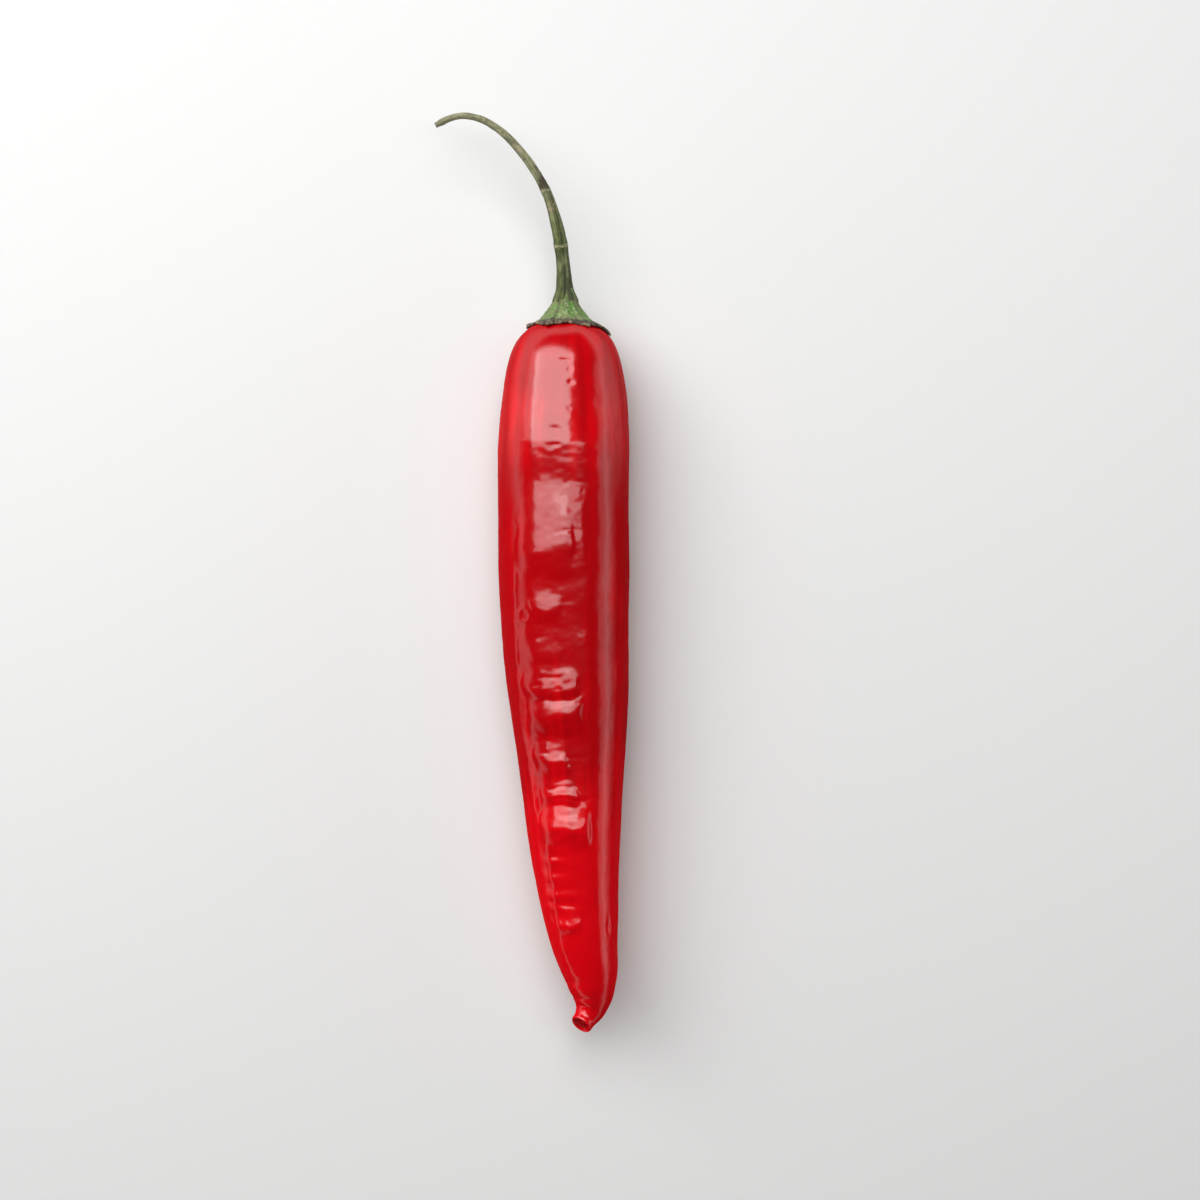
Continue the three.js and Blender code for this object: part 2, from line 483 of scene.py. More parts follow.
def folds(along, angle):
    """Height of the folds, each a lens across the fruit, less the creases that cut them."""
    height = np.zeros(np.broadcast(along, angle).shape)
    for start, crest, foot, centre, half_width, rise in FOLDS:
        fullness = np.clip(1 - (apart(angle, centre) / half_width) ** 2, 0, 1) ** FOLD_FULLNESS
        for step in FOLD_SOFTENING:
            climb = (along + step - start) / (crest - start) - (1 - fullness) / 2
            fall = fullness * np.clip((foot - along - step) / (foot - crest), 0, 1)
            height += rise / len(FOLD_SOFTENING) * np.minimum(np.clip(climb, 0, fullness), fall)
    for place, centre, half_width, depth in CREASES:
        window = np.exp(-(apart(angle, centre) / half_width) ** 2)
        height -= depth * window * np.exp(-((along - place) / CREASE_HALF_LENGTH) ** 2)
    return height


def pits(along, angle, radius):
    depth = np.zeros(np.broadcast(along, angle).shape)
    for place, centre, half_length, half_width, deep in PITS:
        across = np.radians(apart(angle, centre)) * radius / half_width
        depth += deep * np.exp(-across ** 2 - ((along - place) / half_length) ** 2)
    return depth


def ridge(along, angle, radius, height):
    """A narrow crest with a shallow trough beside it, wandering down the fruit."""
    route = through(RIDGE, np.clip(along[:, 0], RIDGE[0][0], RIDGE[-1][0]))
    fade = smoothstep(38, 50, along) * (1 - smoothstep(112, 122, along))
    strength = fade * np.where(along > LOW_RIDGE[0], LOW_RIDGE[1], 1.0)
    across = np.radians(apart(angle, route)) * radius / RIDGE_HALF_WIDTH
    crest = np.exp(-across ** 2) - 0.15 * np.exp(-((across + 2.3) / 1.5) ** 2)
    return height * strength * crest


def ring_scar(along, angle, radius):
    """(height, corkiness) of the small healed ring on the fruit's side."""
    across = np.radians(apart(angle, RING_SCAR["angle"])) * radius / RING_SCAR["across"]
    lengthways = (along - RING_SCAR["along"]) / RING_SCAR["length"]
    distance = np.hypot(across, lengthways)
    rim = np.exp(-((distance - 1) / RING_SCAR["rim"]) ** 2)
    inside = 1 - smoothstep(0.5, 1.0, distance)
    return RING_SCAR["rise"] * rim - RING_SCAR["dip"] * inside, RING_SCAR["cork"] * inside


def lay_on_floor(points):
    """Presses the underside softly flat at the height of the resting surface."""
    z = points[..., 2]
    points[..., 2] = (z + np.sqrt(z * z + PRESSED_SOFTNESS * PRESSED_SOFTNESS)) / 2
    return points


def fruit_points(settings):
    """(points, facts) of the whole fruit, displaced by everything that grew on it."""
    along, radius = fruit_profile()
    angle = np.arange(FRUIT_SIDES) * 360 / FRUIT_SIDES
    smooth = plain_fruit(along, radius, angle)
    s, a, r = along[:, None], angle[None], radius[:, None]
    body = smoothstep(3, 14, s) * (1 - smoothstep(118, 124, s))
    lumps = grain(smooth, 1 / 14, 1) + 0.45 * grain(smooth, 1 / 6.5, 2)
    height = settings.lump_height / MM * lumps * body
    height += 0.10 * np.cos(np.radians(3 * a + 40 + 0.5 * s)) * body
    wander = 0.8 * grain(smooth, 1 / 4.0, 21) + 0.35 * grain(smooth, 1 / 1.5, 22)
    ragged_s, ragged_a = s + wander, a + 7 * grain(smooth, 1 / 4.0, 23)
    height += folds(ragged_s, ragged_a)
    height += ridge(s, a, r, settings.ridge_height / MM) * (1 + 0.9 * grain(smooth, 1 / 1.7, 34))
    height -= pits(s + 0.4 * wander, a + 3 * grain(smooth, 1 / 1.2, 24), r)
    ring, cork = ring_scar(s, a, r)
    height += ring
    height += cross_wrinkles(smooth, s, a, settings.wrinkle_height / MM) * body
    height += shoulder_pleats(s, a)
    height += (0.030 * grain(smooth, 1 / 2.3, 31) + 0.021 * grain(smooth, 1 / 0.8, 32)) * body
    points = smooth + facing(smooth) * height[..., None]
    all_round = np.ones_like(a)
    turn = np.radians(a)
    circle = np.cos(turn) * SKIN_RADIUS, np.sin(turn) * SKIN_RADIUS
    facts = {
        "cork": np.clip(tip_cork(radius)[:, None] * all_round + cork, 0, 1),
        "around": np.stack(np.broadcast_arrays(*circle, s), axis=-1),
        "tone": np.interp(s, *TONE.T) * all_round,
        "wax": 1 - smoothstep(*WAX_ENDS, s) * all_round,
    }
    return lay_on_floor(points), facts


def cross_wrinkles(points, along, angle, height):
    """Fine wrinkles that run across the fruit, in patches."""
    squeezed = points * [0.22, 1.0, 0.22]
    fine = grain(squeezed, 1 / 1.05, 3) + 0.6 * grain(squeezed, 1 / 0.55, 4)
    patches = smoothstep(-0.15, 0.45, grain(points, 1 / 11, 5))
    bias = 0.12 + 0.88 * np.exp(-(apart(angle, 120) / 27) ** 2)
    onset = smoothstep(24, 34, along) * (0.25 + 0.75 * smoothstep(42, 50, along))
    bands = np.exp(-(apart(angle, 117) / 26) ** 4 - ((along - 102.5) / 8.5) ** 4)
    coarse = grain(points * [0.12, 1.0, 0.12], 1 / 1.5, 33)
    return height * (fine * (0.25 + patches) * bias * onset + 3.2 * coarse * bands)


def shoulder_pleats(along, angle):
    """Shallow folds that run out from under the calyx."""
    window = np.exp(-((along - PLEATS["along"]) / PLEATS["length"]) ** 2)
    turn = np.radians(angle)
    waves = np.cos(5 * turn + 0.6) + 0.5 * np.cos(9 * turn + 2.0)
    return PLEATS["height"] * window * waves


def tip_cork(radius):
    """How corky each ring is: only the inside of the cupped scar."""
    inside_lip = np.arange(FRUIT_RINGS) > FRUIT_RINGS - TIP_RINGS * LIP_SHARE
    return np.where(inside_lip, 1 - smoothstep(1.2, 1.75, radius), 0)


def skin_material(settings):
    """Waxy red skin: mottled, faintly streaked lengthways, corky in the scars. Its gloss is a
    coat, which is thinner toward the outline beyond the waxy shoulder."""
    skin = Finish(
        "fruit_skin", Specular_IOR_Level=0.0, Coat_IOR=1.62, Coat_Roughness=0.155,
        Subsurface_Weight=0.06, Subsurface_Scale=1.2 * MM, Subsurface_Radius=(1.0, 0.12, 0.06),
    )
    place = skin.place()
    around = skin.attribute("around", "Vector")
    cork = skin.attribute("cork")
    mottle = skin.noise(place, 55, 3.0)
    streaks = skin.noise(skin.stretched(around, (0.55, 0.55, 0.035)), 1.0, 3.0)
    shade = (mottle * 0.55 + streaks * 0.45 + skin.attribute("tone") * 0.13).clamped(0.36, 0.66)
    red = skin.mixed(shade, rgb(settings.skin_deep), rgb(settings.skin_bright))
    flecks = 1 - skin.spots(place, 900).clamped(0.05, 0.22)
    patches = skin.noise(place, 160).clamped(0.5, 0.62)
    flecked = skin.mixed(flecks * patches * 0.30, red, FLECK)
    colour = skin.mixed(cork, flecked, rgb(settings.scar))
    grazing, wax = skin.grazing(), skin.attribute("wax")
    bare = grazing.clamped(0.21, 0.42) * (1 - wax) + grazing.clamped(0.24, 0.60) * wax * 0.9
    fine = skin.bump(skin.noise(place, 1500), 0.020 * MM)
    normal = skin.bump(skin.noise(place, 420), 0.035 * MM, under=fine)
    return skin.apply(
        Base_Color=colour,
        Roughness=skin.noise(place, 130, 3.0) * 0.12 + (settings.gloss - 0.06) + cork * 0.45,
        Coat_Weight=(1 - bare * 0.96) * (1 - cork * 0.6),
        Normal=normal,
    )


# ---------------------------------------------------------------- the calyx

CALYX_SIDES = 300
NECK_RINGS = 34
SKIRT_RINGS = 29
UNDER_RINGS = 22
SKIRT_GAP = 0.12  # how far the skirt's top lies above the shoulder, besides its thickness
UNDER_GAP = 0.10  # how far its underside lies above the shoulder
FIBRE_RADIUS = 2  # the radius at which the fibres of the calyx and stem are laid out
# The calyx from the stem down to its spreading skirt: [radius, height above the shoulder's top].
CALYX_FLANK = [
    [1.38, 6.9], [1.52, 6.2], [1.76, 5.4], [2.30, 4.25], [3.00, 3.15], [3.80, 2.1], [4.50, 1.25],
]
# The brim's teeth: [angle, reach from the middle of the shoulder].
TEETH = [[2, 8.45], [56, 8.1], [112, 7.9], [176, 7.1], [238, 8.0], [304, 7.7]]
TOOTH_HALF_WIDTH = 13  # in degrees
BAY_REACH = 6.75
PALE_SPECK = (0.31, 0.36, 0.19, 1)
DRY_SPECK = (0.30, 0.25, 0.17, 1)
TORN_EDGE = (0.30, 0.20, 0.12, 1)


def shoulder_drop(reach):
    """How far the shoulder falls below its top at a distance from its middle."""
    sine = np.clip(reach / WIDEST, 0, 1) ** (1 / SHOULDER_POWER)
    return SHOULDER_LENGTH * (1 - np.sqrt(1 - sine * sine))


def on_circle(angle):
    """Points of a unit circle, on which noise round the brim is read."""
    turn = np.radians(angle)
    return np.stack([np.cos(turn), np.sin(turn), 0 * turn], axis=-1)


def brim_reach(angle):
    """How far the ragged brim reaches out at each angle."""
    reach = np.full(angle.shape, BAY_REACH)
    for centre, tooth in TEETH:
        point = np.exp(-(np.abs(apart(angle, centre)) / TOOTH_HALF_WIDTH) ** 1.4)
        reach += (tooth - BAY_REACH) * point
    circle = on_circle(angle)
    ragged = 0.5 * grain(circle, 2.6, 6), 0.28 * grain(circle, 9, 7), 0.12 * grain(circle, 27, 8)
    return reach + ragged[0] + ragged[1] + ragged[2]


def seated(radius, rise, angle):
    """Points at a radius, a rise above the shoulder's top and an angle round its own axis."""
    points, side, up = midline(np.array([0.0]))
    axis = np.cross(side, up)[0]
    beyond = axis * np.sign(axis[1])
    turn = np.radians(angle)
    across = (radius * np.cos(turn))[..., None] * side[0]
    above = (radius * np.sin(turn) * HEIGHT_SHARE)[..., None] * up[0]
    return points[0] + across + above + rise[..., None] * beyond


def calyx_points(settings):
    """(points, facts) of the calyx: down its outside, round the brim and back underneath."""
    angle = np.arange(CALYX_SIDES) * 360 / CALYX_SIDES
    all_round = np.ones((1, CALYX_SIDES))
    reach = brim_reach(angle)[None]
    neck = path_through(CALYX_FLANK, NECK_RINGS)
    start_r, start_h = neck[-1]

    share = np.linspace(0, 1, SKIRT_RINGS + 1)[1:, None]
    thick = settings.thickness / MM
    skirt_r = start_r + (reach - start_r) * share
    skirt_h = SKIRT_GAP - shoulder_drop(skirt_r) + thick * (1 - 0.35 * share)
    step = start_h - (SKIRT_GAP - shoulder_drop(start_r) + thick)
    skirt_h = skirt_h + step * (1 - share) ** 4

    back = np.linspace(1, 0.03, UNDER_RINGS)[:, None]
    under_r = reach * back
    under_h = UNDER_GAP - shoulder_drop(under_r)

    # "Edge" runs from under 0 on the neck, over 0 where the skirt begins, to 1 at the brim.
    outer_edge = np.concatenate([np.linspace(-1.2, 0, NECK_RINGS)[:, None], share]) * all_round
    outer_h = np.concatenate([neck[:, 1:] * all_round, skirt_h])
    curl = settings.curl / MM * curl_pattern(angle)[None]
    outer_h = outer_h + curl * smoothstep(0.45, 1.0, outer_edge)
    under_h = under_h + curl * smoothstep(0.80, 1.0, back)

    radius = np.concatenate([neck[:, :1] * all_round, skirt_r, under_r])
    rise = np.concatenate([outer_h, under_h])
    edge = np.concatenate([outer_edge, back * all_round])
    outside = np.arange(len(radius))[:, None] < NECK_RINGS + SKIRT_RINGS
    angles = np.broadcast_to(angle[None], radius.shape)
    points = seated(radius, rise, angles)
    vein = vein_height(angles, radius, edge)
    rough = 0.09 * grain(points, 1 / 0.8, 9) + 0.05 * grain(points, 1 / 0.35, 10)
    height = vein * settings.vein_height / MM + rough * smoothstep(-1.1, -0.6, edge)
    points = points + facing(points) * (height * outside)[..., None]
    turn = np.radians(angles)
    facts = {
        "strands": np.stack(
            [np.cos(turn) * FIBRE_RADIUS, np.sin(turn) * FIBRE_RADIUS, rise], axis=-1
        ),
        "brim": np.where(outside, edge, 1.0),
        "vein": vein * outside,
    }
    return points, facts


def curl_pattern(angle):
    """How much the brim lifts at each angle: more at the teeth's points."""
    circle = on_circle(angle)
    lift = 0.5 + 0.8 * grain(circle, 3.2, 11) + 0.5 * grain(circle, 8, 12)
    for centre, _ in TEETH:
        lift += 0.9 * np.exp(-(apart(angle, centre) / 8) ** 2)
    return np.clip(lift, -0.2, 1.8)


def vein_height(angle, radius, edge):
    """1 on the crest of a vein, falling to 0 between them."""
    height = np.zeros(angle.shape)
    for centre, _ in TEETH:
        across = np.radians(apart(angle, centre)) * radius
        height += np.exp(-(across / 0.36) ** 2)
    for (first, _), (second, _) in zip(TEETH, TEETH[1:] + TEETH[:1]):
        middle = first + (second - first) % 360 / 2
        across = np.radians(apart(angle, middle)) * radius
        height += 0.7 * np.exp(-(across / 0.30) ** 2)
        for side in (-1, 1):
            fork = middle + side * 15 * smoothstep(-0.9, 0.3, edge)
            across = np.radians(apart(angle, fork)) * radius
            height += 0.4 * smoothstep(-0.8, -0.3, edge) * np.exp(-(across / 0.22) ** 2)
    return height * (1 - 0.6 * smoothstep(0.5, 1, edge))


def calyx_material(settings):
    """Fibrous green, patchy and speckled, with darker veins and a dry brown brim."""
    leaf = Finish("calyx_green", Specular_IOR_Level=0.35)
    place = leaf.place()
    strands = leaf.attribute("strands", "Vector")
    brim = leaf.attribute("brim")
    vein = leaf.attribute("vein")
    fibres = leaf.noise(leaf.stretched(strands, (2.2, 2.2, 0.22)), 1.0, 4.0, 0.6)
    patches = leaf.noise(place, 330, 3.0, 0.6)
    specks = leaf.noise(place, 1500, 3.0, 0.6)
    dull = settings.grey_green
    fresh = leaf.mixed(patches.clamped(0.40, 0.62), rgb(dull), rgb(settings.green))
    shaded = leaf.mixed(fibres.clamped(0.42, 0.62) * 0.65, fresh, rgb(dull, 0.22))
    veined = leaf.mixed(vein * 0.45, shaded, rgb(dull, 0.3))
    speckled = leaf.mixed(specks.clamped(0.50, 0.66) * 0.75, veined, PALE_SPECK)
    ragged = brim + (patches - 0.5) * 0.9 + (specks - 0.5) * 0.5
    dry = leaf.mixed(specks.clamped(0.48, 0.68) * 0.7, rgb(settings.brim), DRY_SPECK)
    browned = leaf.mixed(ragged.clamped(0.20, 0.52), speckled, dry)
    rim = brim.clamped(0.955, 0.99) * specks.clamped(0.40, 0.60) * 0.7
    edged = leaf.mixed(rim, browned, TORN_EDGE)
    fine = leaf.bump(specks, 0.05 * MM)
    normal = leaf.bump(fibres, 0.12 * MM, under=fine)
    return leaf.apply(Base_Color=edged, Roughness=0.5 + patches * 0.3, Normal=normal)


# ---------------------------------------------------------------- the stem

# The stem's route: [sideways, beyond the shoulder's top, height].
STEM_ROUTE = [
    [-0.02, 4.6, 9.25], [-0.1, 6.5, 9.35], [-0.2, 8.4, 9.5], [-0.45, 12, 9.9], [-0.8, 14.8, 10.2],
    [-1.3, 17.5, 10.5], [-2.25, 21.1, 11.0], [-3.15, 23.75, 11.4], [-4.55, 26.6, 11.7],
    [-6.35, 29.4, 12.0], [-8.2, 31.75, 12.3], [-11.8, 35.3, 12.6], [-15.45, 37.4, 12.65],
    [-19.1, 37.95, 12.4], [-21.3, 37.4, 12.15], [-23.5, 36.35, 11.8],
]
# The stem's radius: [distance from the start of its route, radius].
STEM_GIRTH = [
    [0, 2.25], [0.7, 2.02], [1.3, 1.78], [1.95, 1.55], [2.9, 1.40], [3.8, 1.32], [5.6, 1.19],
    [7.4, 1.12], [9.2, 1.13], [10.3, 1.22], [11.4, 1.13], [13.2, 1.10], [17, 0.96], [19.8, 0.93],
    [20.6, 0.96], [21.5, 0.88], [26.4, 0.77], [31, 0.69], [36, 0.62], [41, 0.58], [44, 0.57],
    [45.2, 0.62], [46.0, 0.60], [46.35, 0.50],
]
STEM_RINGS = 260
STEM_SIDES = 60
STEM_LUMPS = 0.10 * MM
# Marks round the stem: (distance from the start of its route, half-width).
SHADE = (6.0, 4.2)
JOINTS = [(10.3, 0.30), (20.6, 0.24)]
BRUISE = (23.0, 2.2)
PINK_SPOTS = [(17.6, 0.9), (29.0, 1.0)]
CUT_END = (45.6, 46.2)  # the stretch over which the stem takes the cut end's colour
SHADE_COLOUR = (0.030, 0.036, 0.014, 1)
STRIPE_COLOUR = (0.026, 0.030, 0.012, 1)
JOINT_COLOUR = (0.38, 0.37, 0.22, 1)
BRUISE_COLOUR = (0.045, 0.030, 0.018, 1)
PINK_COLOUR = (0.40, 0.26, 0.19, 1)


def stem_path(name):
    """A curve along the stem's route, with its girth as the curve's radius."""
    offset = np.array([SHOULDER_X, SHOULDER_Y, -PRESSED_DEPTH])
    route = path_through(np.array(STEM_ROUTE) + offset, STEM_RINGS)
    travelled = np.r_[0, np.cumsum(np.linalg.norm(np.diff(route, axis=0), axis=1))]
    girth = through(STEM_GIRTH, np.minimum(travelled, STEM_GIRTH[-1][0]))
    curve = bpy.data.curves.new(name, "CURVE")
    curve.dimensions = "3D"
    spline = curve.splines.new("POLY")
    spline.points.add(STEM_RINGS - 1)
    spline.points.foreach_set("co", np.c_[route * MM, np.ones(STEM_RINGS)].ravel())
    spline.points.foreach_set("radius", girth.ravel() * MM)
    path = bpy.data.objects.new(name, curve)
    bpy.context.scene.collection.objects.link(path)
    return path


def stem_tree():
    """The node group that turns a path into a ribbed, faintly lumpy stem."""
    group = bpy.data.node_groups.new("ribbed_stem", "GeometryNodeTree")
    sockets = [
        ("Geometry", "NodeSocketGeometry"), ("Sides", "NodeSocketInt"), ("Ribs", "NodeSocketInt"),
        ("Rib Height", "NodeSocketFloat"), ("Twist", "NodeSocketFloat"),
        ("Lump Height", "NodeSocketFloat"), ("Material", "NodeSocketMaterial"),
    ]
    for label, kind in sockets:
        group.interface.new_socket(label, in_out="INPUT", socket_type=kind)
    group.interface.new_socket("Geometry", in_out="OUTPUT", socket_type="NodeSocketGeometry")
    tree = Tree(group)
    inputs = tree.node("NodeGroupInput")
    given = {label: inputs.sibling(label) for label, _ in sockets}

    progress = tree.node("GeometryNodeSplineParameter", output="Factor")
    length = tree.node("GeometryNodeSplineParameter", output="Length")
    upright = tree.node("GeometryNodeSetCurveNormal", {"mode": "Z_UP"}, {"Curve": given["Geometry"]})
    tilt = progress * given["Twist"]
    twisted = tree.node("GeometryNodeSetCurveTilt", None, {"Curve": upright, "Tilt": tilt})
    measured = stored(tree, twisted, "travelled", "FLOAT", length)
    sized = stored(tree, measured, "girth", "FLOAT", tree.node("GeometryNodeInputRadius"))

    circle = tree.node(
        "GeometryNodeCurvePrimitiveCircle", None, {"Resolution": given["Sides"], "Radius": 1.0}
    )
    place = tree.node("GeometryNodeInputPosition")
    section = stored(tree, circle, "section", "FLOAT_VECTOR", place)
    sweep = {
        "Curve": sized, "Profile Curve": section, "Fill Caps": True,
        "Scale": tree.node("GeometryNodeInputRadius"),
    }
    swept = tree.node("GeometryNodeCurveToMesh", None, sweep)

    across = tree.node("ShaderNodeSeparateXYZ", None, {0: named(tree, "section", "FLOAT_VECTOR")})
    above = across.sibling("Y")
    travelled = named(tree, "travelled", "FLOAT")
    girth = named(tree, "girth", "FLOAT")
    turn = above.angle_from(across)
    ribs = (turn * given["Ribs"]).cosine() + (turn * (given["Ribs"] * 2) + 1.0).cosine() * 0.35
    ribs = ribs + (turn * 3.0 + 0.7).cosine() * 0.4
    faded = ribs * girth * given["Rib Height"] * (1 - travelled.clamped(0.012, 0.046) * 0.55)
    lumps = tree.node("ShaderNodeTexNoise", None, {"Vector": place, "Scale": 700.0, "Detail": 2.0})
    height = faded + (lumps - 0.5) * given["Lump Height"]
    normal = tree.node("GeometryNodeInputNormal")
    push = tree.node("ShaderNodeVectorMath", {"operation": "SCALE"}, {0: normal, "Scale": height})
    shaped = tree.node("GeometryNodeSetPosition", None, {"Geometry": swept, "Offset": push})

    round_stem = {0: across * FIBRE_RADIUS, 1: above * FIBRE_RADIUS, 2: travelled * (1 / MM)}
    strands = tree.node("ShaderNodeCombineXYZ", None, round_stem)
    striped = stored(tree, shaped, "strands", "FLOAT_VECTOR", strands)
    real = tree.node("GeometryNodeRealizeInstances", None, {0: striped})
    dressed = tree.node(
        "GeometryNodeSetMaterial", None, {"Geometry": real, "Material": given["Material"]}
    )
    tree.node("NodeGroupOutput", None, {"Geometry": dressed})
    return group


def stored(tree, geometry, name, kind, value):
    settings = {"data_type": kind, "domain": "POINT"}
    sockets = {"Geometry": geometry, "Name": name, "Value": value}
    return tree.node("GeometryNodeStoreNamedAttribute", settings, sockets)


def named(tree, name, kind):
    return tree.node("GeometryNodeInputNamedAttribute", {"data_type": kind}, {"Name": name})


def grown(source, group, values, name):
    """The plain mesh object that the node group makes from the source, which is then removed."""
    modifier = source.modifiers.new("growth", "NODES")
    modifier.node_group = group
    for item in group.interface.items_tree:
        if item.in_out == "INPUT" and item.name in values:
            modifier[item.identifier] = values[item.name]
    graph = bpy.context.evaluated_depsgraph_get()
    mesh = bpy.data.meshes.new_from_object(source.evaluated_get(graph), depsgraph=graph)
    mesh.name = name
    source.modifiers.remove(modifier)
    bpy.data.objects.remove(source)
    body = bpy.data.objects.new(name, mesh)
    bpy.context.scene.collection.objects.link(body)
    mesh.shade_smooth()
    return body


def stem_material(settings, calyx):
    """Striped green near the calyx, olive grey further out, dry at the joints and the cut end."""
    bark = Finish("stem_green", Specular_IOR_Level=0.3)
    place = bark.place()
    strands = bark.attribute("strands", "Vector")
    travelled = bark.attribute("travelled") * (1 / MM)
    fibres = bark.noise(bark.stretched(strands, (1.6, 1.6, 0.16)), 1.0, 4.0, 0.6)
    patches = bark.noise(place, 300, 3.0, 0.6)
    specks = bark.noise(place, 1700, 3.0, 0.6)
    blotches = bark.noise(place, 900, 3.0, 0.7)
    olive = settings.olive

    near = bark.mixed(patches.clamped(0.40, 0.62), rgb(calyx.grey_green), rgb(settings.fresh))
    outer = bark.mixed(patches.clamped(0.35, 0.70), rgb(olive), rgb(olive, 0.6))
    wander = travelled + (patches - 0.5) * 14
    green = bark.mixed(wander.clamped(10, 30), near, outer)
    shade = ring_mask(travelled, *SHADE) * patches.clamped(0.30, 0.60)
    shaded = bark.mixed(shade * 0.55, green, SHADE_COLOUR)
    mottled = bark.mixed(blotches.clamped(0.46, 0.62) * 0.5, shaded, rgb(settings.fresh, 0.4))
    stripes = fibres.clamped(0.42, 0.60) * (0.85 - wander.clamped(12, 30) * 0.45)
    striped = bark.mixed(stripes, mottled, STRIPE_COLOUR)

    bent = travelled + (patches - 0.5) * 2.4
    joint = ring_mask(bent, *JOINTS[0]) + ring_mask(bent, *JOINTS[1])
    jointed = bark.mixed(joint * specks.clamped(0.35, 0.55) * 0.75, striped, JOINT_COLOUR)
    bruise = ring_mask(travelled, *BRUISE) * patches.clamped(0.40, 0.55)
    bruised = bark.mixed(bruise * 0.85, jointed, BRUISE_COLOUR)
    spots = ring_mask(travelled, *PINK_SPOTS[0]) + ring_mask(travelled, *PINK_SPOTS[1])
    pinked = bark.mixed(spots * specks.clamped(0.50, 0.62) * 0.55, bruised, PINK_COLOUR)
    colour = bark.mixed(travelled.clamped(*CUT_END), pinked, rgb(settings.cut))
    fine = bark.bump(specks, 0.05 * MM)
    normal = bark.bump(fibres, 0.10 * MM, under=fine)
    return bark.apply(Base_Color=colour, Roughness=0.55 + patches * 0.25, Normal=normal)


def ring_mask(travelled, place, half_width):
    """1 at a place along the stem, falling to 0 on both sides."""
    distance = (travelled - place) / half_width
    return 1 - (distance * distance).clamped(0.3, 1.6)


# ---------------------------------------------------------------- operators

def finish_piece(body, node):
    """Hands a finished piece to the frame in place of its CAD node."""
    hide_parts(node)
    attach(body, "root")


class PEPPER_OT_fruit(bpy.types.Operator):
    """Grow the long red fruit"""

    bl_idname = "pepper.fruit"
    bl_label = "Fruit"

    def execute(self, context):
        settings = context.scene.pepper_fruit
        points, facts = fruit_points(settings)
        fruit = closed_body("pepper_fruit", points, facts)
        fruit.data.materials.append(skin_material(settings))
        finish_piece(fruit, "fruit")
        return {"FINISHED"}


class PEPPER_OT_calyx(bpy.types.Operator):
    """Grow the green cap on the fruit's shoulder"""

    bl_idname = "pepper.calyx"
    bl_label = "Calyx"

    def execute(self, context):
        settings = context.scene.pepper_calyx
        points, facts = calyx_points(settings)
        calyx = closed_body("pepper_calyx", points, facts)
        calyx.data.materials.append(calyx_material(settings))
        finish_piece(calyx, "calyx")
        return {"FINISHED"}


class PEPPER_OT_stem(bpy.types.Operator):
    """Grow the curved stem"""

    bl_idname = "pepper.stem"
    bl_label = "Stem"

    def execute(self, context):
        settings = context.scene.pepper_stem
        material = stem_material(settings, context.scene.pepper_calyx)
        values = {
            "Sides": STEM_SIDES, "Ribs": settings.rib_count, "Rib Height": settings.rib_height,
            "Twist": settings.twist, "Lump Height": STEM_LUMPS, "Material": material,
        }
        stem = grown(stem_path("stem_path"), stem_tree(), values, "pepper_stem")
        finish_piece(stem, "stem")
        return {"FINISHED"}


class PEPPER_OT_stage(bpy.types.Operator):
    """Set up the floor, the lights and the camera"""

    bl_idname = "pepper.stage"
    bl_label = "Stage"

    def execute(self, context):
        settings = context.scene.pepper_stage
        lay_floor(settings)
        for place, size, brightness in SOFTBOXES:
            hang_softbox(place, size, brightness)
        light_surroundings(context.scene)
        set_camera(context.scene, settings)
        context.scene.view_settings.view_transform = "Standard"
        return {"FINISHED"}


# ---------------------------------------------------------------- the stage

FLOOR_HALF_WIDTH = 4.0
FLOOR_LEVEL = -0.02 * MM  # just under the pepper
FLOOR_GLOW = (0.25, 1.7)  # the distances over which the floor's own glow sets in, in metres
MIDDLE = Vector((0, 0, 0.011))
VIEW_CENTRE = Vector((SHOULDER_X + 6.38, SHOULDER_Y - 49.9, 11)) * MM
SENSOR_WIDTH = 36
# The surroundings: how high the pale band round the horizon fades out, as a share of straight
# up, how bright it is, and how bright it is overhead.
HORIZON_FADE = (0.10, 0.34)
HORIZON_BRIGHTNESS = 0.92
OVERHEAD_BRIGHTNESS = 0.015
# Softboxes: (place, (width, height), brightness), in metres, all facing the pepper.
SOFTBOXES = [
    ((-0.23, 0.380, 0.610), (1.00, 0.54), 4.4),
    ((-0.08, 0.085, 0.720), (1.38, 0.14), 2.9),
    ((-0.71, 0.400, 0.380), (0.34, 0.46), 1.5),
    ((0.74, 0.020, 0.240), (0.26, 0.80), 0.6),
]


def lay_floor(settings):
    """A wide pale floor, which glows a little far from the pepper so that it stays pale there."""
    mesh = bpy.data.meshes.new("floor")
    corners = [
        (x * FLOOR_HALF_WIDTH, y * FLOOR_HALF_WIDTH, FLOOR_LEVEL)
        for x, y in ((-1, -1), (1, -1), (1, 1), (-1, 1))
    ]
    mesh.from_pydata(corners, [], [(0, 1, 2, 3)])
    floor = bpy.data.objects.new("floor", mesh)
    bpy.context.scene.collection.objects.link(floor)
    finish = Finish("floor", Base_Color=rgb(settings.floor), Roughness=0.6, Emission_Strength=0.66)
    length = {"operation": "LENGTH"}
    distance = finish.node("ShaderNodeVectorMath", length, {0: finish.place()}, "Value")
    mesh.materials.append(finish.apply(Emission_Color=distance.clamped(*FLOOR_GLOW)))


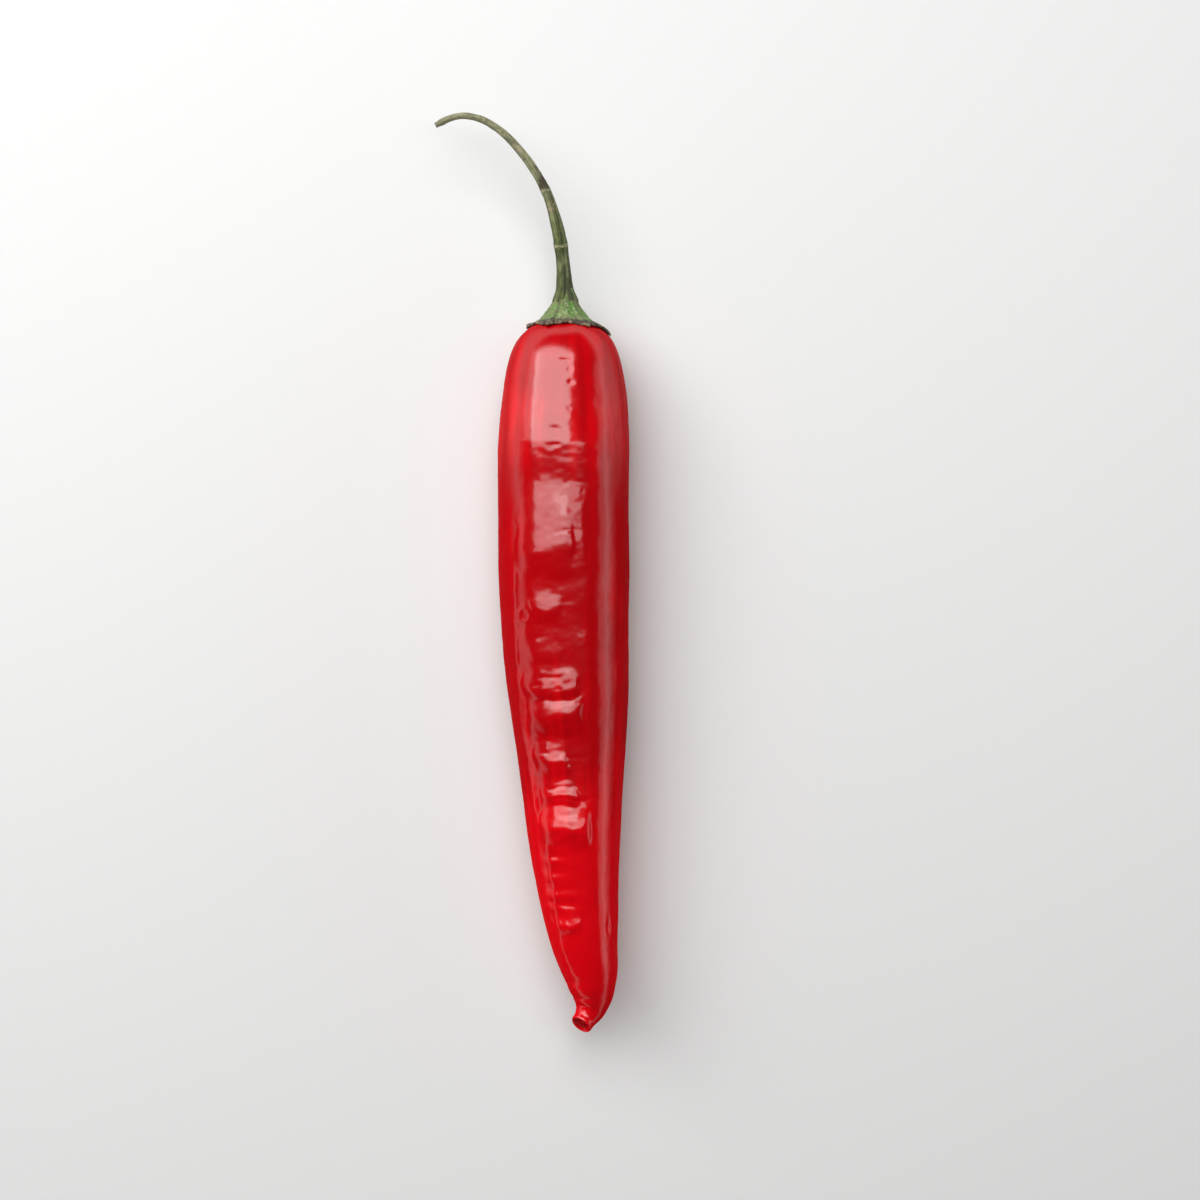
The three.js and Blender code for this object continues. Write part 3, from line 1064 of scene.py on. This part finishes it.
def hang_softbox(place, size, brightness):
    """An area light that faces the pepper. Brightness is what a white surface would need to
    match it."""
    light = bpy.data.lights.new("softbox", "AREA")
    light.shape = "RECTANGLE"
    light.size, light.size_y = size
    light.energy = brightness * math.pi * size[0] * size[1]
    softbox = bpy.data.objects.new("softbox", light)
    back = (Vector(place) - MIDDLE).normalized()
    across = Vector((0, 1, 0)).cross(back).normalized()
    softbox.matrix_world = Matrix((across, back.cross(across), back)).transposed().to_4x4()
    softbox.location = place
    bpy.context.scene.collection.objects.link(softbox)


def light_surroundings(scene):
    """Pale round the horizon and dark overhead."""
    world = bpy.data.worlds.new("studio")
    world.use_nodes = True
    tree = Tree(world.node_tree)
    direction = tree.node("ShaderNodeTexCoord", output="Generated")
    height = tree.node("ShaderNodeSeparateXYZ", None, {0: direction}, "Z")
    band = (1 - height.clamped(*HORIZON_FADE)) * HORIZON_BRIGHTNESS
    strength = OVERHEAD_BRIGHTNESS + band
    background = world.node_tree.nodes["Background"]
    background.inputs["Color"].default_value = (1, 1, 1, 1)
    tree.join(background.inputs["Strength"], strength)
    scene.world = world


def set_camera(scene, settings):
    """Looks straight down, with the stem end at the top of the picture."""
    camera = bpy.data.cameras.new("camera")
    camera.sensor_width = SENSOR_WIDTH
    camera.lens = settings.lens
    viewer = bpy.data.objects.new("camera", camera)
    distance = settings.view_width * settings.lens / SENSOR_WIDTH
    viewer.location = VIEW_CENTRE + Vector((0, 0, distance))
    scene.collection.objects.link(viewer)
    scene.camera = viewer


# ---------------------------------------------------------------- the add-on

class PEPPER_PT_sidebar(bpy.types.Panel):
    bl_idname = "PEPPER_PT_sidebar"
    bl_label = "Chilli Pepper"
    bl_space_type = "VIEW_3D"
    bl_region_type = "UI"
    bl_category = "Chilli"

    def draw(self, context):
        for group, operator in PARTS:
            box = self.layout.box()
            settings = getattr(context.scene, group)
            for name in settings.__annotations__:
                box.prop(settings, name)
            box.operator(operator.bl_idname)


SETTINGS = {
    "pepper_fruit": FruitSettings,
    "pepper_calyx": CalyxSettings,
    "pepper_stem": StemSettings,
    "pepper_stage": StageSettings,
}
PARTS = [
    ("pepper_fruit", PEPPER_OT_fruit),
    ("pepper_calyx", PEPPER_OT_calyx),
    ("pepper_stem", PEPPER_OT_stem),
    ("pepper_stage", PEPPER_OT_stage),
]
CLASSES = [*SETTINGS.values(), *(operator for _, operator in PARTS), PEPPER_PT_sidebar]


def register():
    for cls in CLASSES:
        bpy.utils.register_class(cls)
    for name, group in SETTINGS.items():
        setattr(bpy.types.Scene, name, bpy.props.PointerProperty(type=group))


def unregister():
    for name in SETTINGS:
        delattr(bpy.types.Scene, name)
    for cls in reversed(CLASSES):
        bpy.utils.unregister_class(cls)


def main():
    register()
    bpy.ops.pepper.stage()
    bpy.ops.pepper.fruit()
    bpy.ops.pepper.calyx()
    bpy.ops.pepper.stem()


if __name__ == "__main__":
    main()
